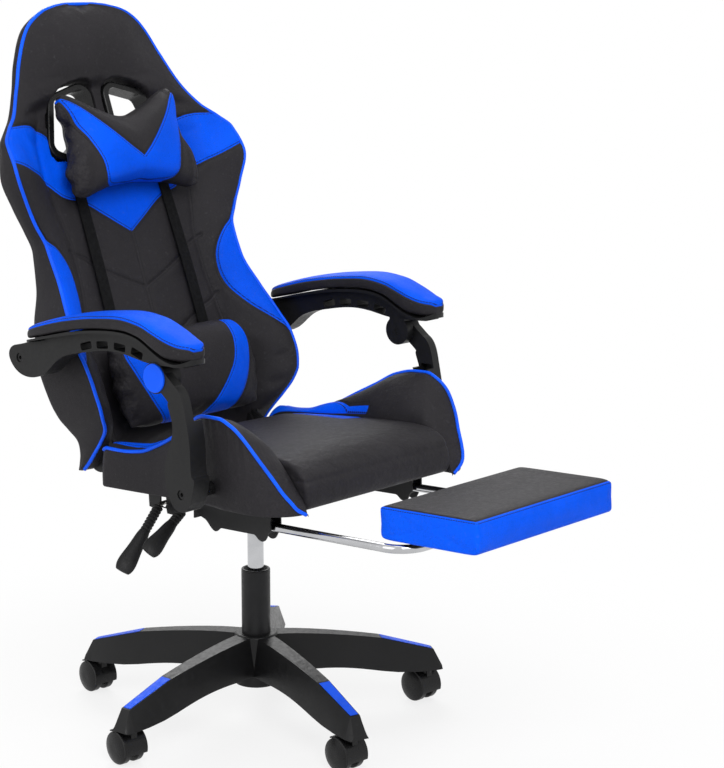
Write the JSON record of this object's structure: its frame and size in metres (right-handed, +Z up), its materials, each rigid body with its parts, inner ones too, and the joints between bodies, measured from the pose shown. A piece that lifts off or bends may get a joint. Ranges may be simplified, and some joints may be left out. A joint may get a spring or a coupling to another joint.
{
  "type": "gaming chair",
  "caption": "Reclining gaming chair with winged back, head and lumbar pillows, linked armrests, pull-out flip-over footrest, gas lift and star base on twin-wheel casters.",
  "frame": {"origin": "on the floor under the swivel axis", "axes": "+Z up along the swivel axis, +X to the sitter's left, +Y behind the chair; the sitter faces -Y"},
  "size_m": [0.6594, 1.078, 1.2286],
  "materials": {
    "black_plastic": "moulded, fine grain",
    "blue_plastic": "gloss moulded inlay",
    "black_steel": "black powder coat",
    "chrome_steel": "polished plate",
    "bright_steel": "zinc plated",
    "black_leather": "soft grained artificial leather with blue panels",
    "blue_leather": "soft grained artificial leather, blue and black",
    "nylon": "hard nylon",
    "webbing": "woven strap",
    "grip_rubber": "moulded soft grip"
  },
  "bodies": {
    "base": {"star_base": "black_plastic", "leg_inserts": "blue_plastic", "column_tube": "black_steel", "column_bush": "nylon"},
    "piston": {"piston_rod": "chrome_steel"},
    "seat": {"gas_cylinder": "chrome_steel", "swivel_plate": "black_steel", "plate_bolts": "bright_steel", "seat_frame": "black_steel", "recliners": "black_steel", "seat_cushion": "black_leather", "seat_wing_left": "blue_leather", "seat_wing_right": "blue_leather", "guide_brackets": "black_steel", "guide_bushes": "nylon", "lever_bracket": "black_steel", "lift_lever_pin": "bright_steel", "recline_lever_pin": "bright_steel", "post_bolts": "bright_steel"},
    "release_pin": {"release_pin": "bright_steel"},
    "lift_lever": {"lift_lever_rod": "bright_steel", "lift_lever_grip": "grip_rubber"},
    "recline_lever": {"recline_lever_rod": "bright_steel", "recline_lever_grip": "grip_rubber"},
    "back": {"back_frame": "black_steel", "back_cushion": "blue_leather", "belt_grommet_left": "black_plastic", "belt_grommet_right": "black_plastic", "head_pillow": "blue_leather", "lumbar_pillow": "blue_leather", "pillow_straps": "webbing", "arm_bolts": "bright_steel"},
    "post_left": {"arm_post_left": "black_plastic", "knuckle_pin_left": "blue_plastic"},
    "post_right": {"arm_post_right": "black_plastic", "knuckle_pin_right": "blue_plastic"},
    "arm_left": {"arm_frame_left": "black_plastic", "arm_pad_left": "blue_leather"},
    "arm_right": {"arm_frame_right": "black_plastic", "arm_pad_right": "blue_leather"},
    "footrest_rails": {"footrest_tube": "chrome_steel", "rail_plugs": "nylon"},
    "footrest_board": {"footrest_board": "black_plastic", "footrest_clips": "black_plastic", "footrest_pad": "black_leather"},
    "caster_1": {"caster_housing_1": "nylon"},
    "wheel_1a": {"caster_wheel_1a": "nylon"},
    "wheel_1b": {"caster_wheel_1b": "nylon"},
    "caster_2": {"caster_housing_2": "nylon"},
    "wheel_2a": {"caster_wheel_2a": "nylon"},
    "wheel_2b": {"caster_wheel_2b": "nylon"},
    "caster_3": {"caster_housing_3": "nylon"},
    "wheel_3a": {"caster_wheel_3a": "nylon"},
    "wheel_3b": {"caster_wheel_3b": "nylon"},
    "caster_4": {"caster_housing_4": "nylon"},
    "wheel_4a": {"caster_wheel_4a": "nylon"},
    "wheel_4b": {"caster_wheel_4b": "nylon"},
    "caster_5": {"caster_housing_5": "nylon"},
    "wheel_5a": {"caster_wheel_5a": "nylon"},
    "wheel_5b": {"caster_wheel_5b": "nylon"}
  },
  "joints": [
    {"name": "swivel", "type": "hinge", "parent": "base", "child": "piston", "pos_m": [0, 0, 0.2], "axis": [0, 0, 1], "continuous": true},
    {"name": "gas_lift", "type": "slide", "parent": "piston", "child": "seat", "axis": [0, 0, 1], "range_m": [-0.06, 0.03]},
    {"name": "release_pin_slide", "type": "slide", "parent": "seat", "child": "release_pin", "axis": [0, 0, 1], "range_m": [-0.004, 0]},
    {"name": "lift_lever_pivot", "type": "hinge", "parent": "seat", "child": "lift_lever", "pos_m": [-0.07, 0, 0.3893], "axis": [0, 1, 0], "range_deg": [0, 3], "stiffness_Nm_per_rad": 20, "springref_deg": -2.86},
    {"name": "recline_lever_pivot", "type": "hinge", "parent": "seat", "child": "recline_lever", "pos_m": [-0.145, 0.026, 0.415], "axis": [0, 1, 0], "range_deg": [0, 8], "stiffness_Nm_per_rad": 10, "springref_deg": -5.73},
    {"name": "recline", "type": "hinge", "parent": "seat", "child": "back", "pos_m": [0, 0.1895, 0.469], "axis": [-1, 0, 0], "range_deg": [-18, 25]},
    {"name": "post_left_pivot", "type": "hinge", "parent": "seat", "child": "post_left", "pos_m": [0.291, -0.139, 0.477], "axis": [-1, 0, 0], "range_deg": [-18, 25]},
    {"name": "arm_left_pivot", "type": "hinge", "parent": "back", "child": "arm_left", "pos_m": [0.291, 0.245, 0.647], "axis": [-1, 0, 0], "range_deg": [-25, 18]},
    {"name": "post_right_pivot", "type": "hinge", "parent": "seat", "child": "post_right", "pos_m": [-0.291, -0.139, 0.477], "axis": [-1, 0, 0], "range_deg": [-18, 25]},
    {"name": "arm_right_pivot", "type": "hinge", "parent": "back", "child": "arm_right", "pos_m": [-0.291, 0.245, 0.647], "axis": [-1, 0, 0], "range_deg": [-25, 18]},
    {"name": "footrest_slide", "type": "slide", "parent": "seat", "child": "footrest_rails", "axis": [0, 0.999, -0.0436], "range_m": [0, 0.12]},
    {"name": "footrest_flip", "type": "hinge", "parent": "footrest_rails", "child": "footrest_board", "pos_m": [0, -0.484, 0.42401], "axis": [1, 0, 0], "range_deg": [0, 180]},
    {"name": "caster_1_swivel", "type": "hinge", "parent": "base", "child": "caster_1", "pos_m": [0.24192, 0.18901, 0.07], "axis": [0, 0, 1], "continuous": true},
    {"name": "wheel_1a_spin", "type": "hinge", "parent": "caster_1", "child": "wheel_1a", "pos_m": [0.24359, 0.20492, 0.028], "axis": [0.9945, -0.1045, 0], "continuous": true},
    {"name": "wheel_1b_spin", "type": "hinge", "parent": "caster_1", "child": "wheel_1b", "pos_m": [0.24359, 0.20492, 0.028], "axis": [0.9945, -0.1045, 0], "continuous": true},
    {"name": "caster_2_swivel", "type": "hinge", "parent": "base", "child": "caster_2", "pos_m": [-0.105, 0.28849, 0.07], "axis": [0, 0, 1], "continuous": true},
    {"name": "wheel_2a_spin", "type": "hinge", "parent": "caster_2", "child": "wheel_2a", "pos_m": [-0.10333, 0.3044, 0.028], "axis": [0.9945, -0.1045, 0], "continuous": true},
    {"name": "wheel_2b_spin", "type": "hinge", "parent": "caster_2", "child": "wheel_2b", "pos_m": [-0.10333, 0.3044, 0.028], "axis": [0.9945, -0.1045, 0], "continuous": true},
    {"name": "caster_3_swivel", "type": "hinge", "parent": "base", "child": "caster_3", "pos_m": [-0.30681, -0.01071, 0.07], "axis": [0, 0, 1], "continuous": true},
    {"name": "wheel_3a_spin", "type": "hinge", "parent": "caster_3", "child": "wheel_3a", "pos_m": [-0.30514, 0.0052, 0.028], "axis": [0.9945, -0.1045, 0], "continuous": true},
    {"name": "wheel_3b_spin", "type": "hinge", "parent": "caster_3", "child": "wheel_3b", "pos_m": [-0.30514, 0.0052, 0.028], "axis": [0.9945, -0.1045, 0], "continuous": true},
    {"name": "caster_4_swivel", "type": "hinge", "parent": "base", "child": "caster_4", "pos_m": [-0.08462, -0.29511, 0.07], "axis": [0, 0, 1], "continuous": true},
    {"name": "wheel_4a_spin", "type": "hinge", "parent": "caster_4", "child": "wheel_4a", "pos_m": [-0.08295, -0.2792, 0.028], "axis": [0.9945, -0.1045, 0], "continuous": true},
    {"name": "wheel_4b_spin", "type": "hinge", "parent": "caster_4", "child": "wheel_4b", "pos_m": [-0.08295, -0.2792, 0.028], "axis": [0.9945, -0.1045, 0], "continuous": true},
    {"name": "caster_5_swivel", "type": "hinge", "parent": "base", "child": "caster_5", "pos_m": [0.25451, -0.17167, 0.07], "axis": [0, 0, 1], "continuous": true},
    {"name": "wheel_5a_spin", "type": "hinge", "parent": "caster_5", "child": "wheel_5a", "pos_m": [0.25619, -0.15576, 0.028], "axis": [0.9945, -0.1045, 0], "continuous": true},
    {"name": "wheel_5b_spin", "type": "hinge", "parent": "caster_5", "child": "wheel_5b", "pos_m": [0.25619, -0.15576, 0.028], "axis": [0.9945, -0.1045, 0], "continuous": true}
  ],
  "couplings": [
    {"joint": "release_pin_slide", "follows": "lift_lever_pivot", "m_per_rad": -0.07},
    {"joint": "post_left_pivot", "follows": "recline", "ratio": 1},
    {"joint": "arm_left_pivot", "follows": "recline", "ratio": -1},
    {"joint": "post_right_pivot", "follows": "recline", "ratio": 1},
    {"joint": "arm_right_pivot", "follows": "recline", "ratio": -1}
  ]
}
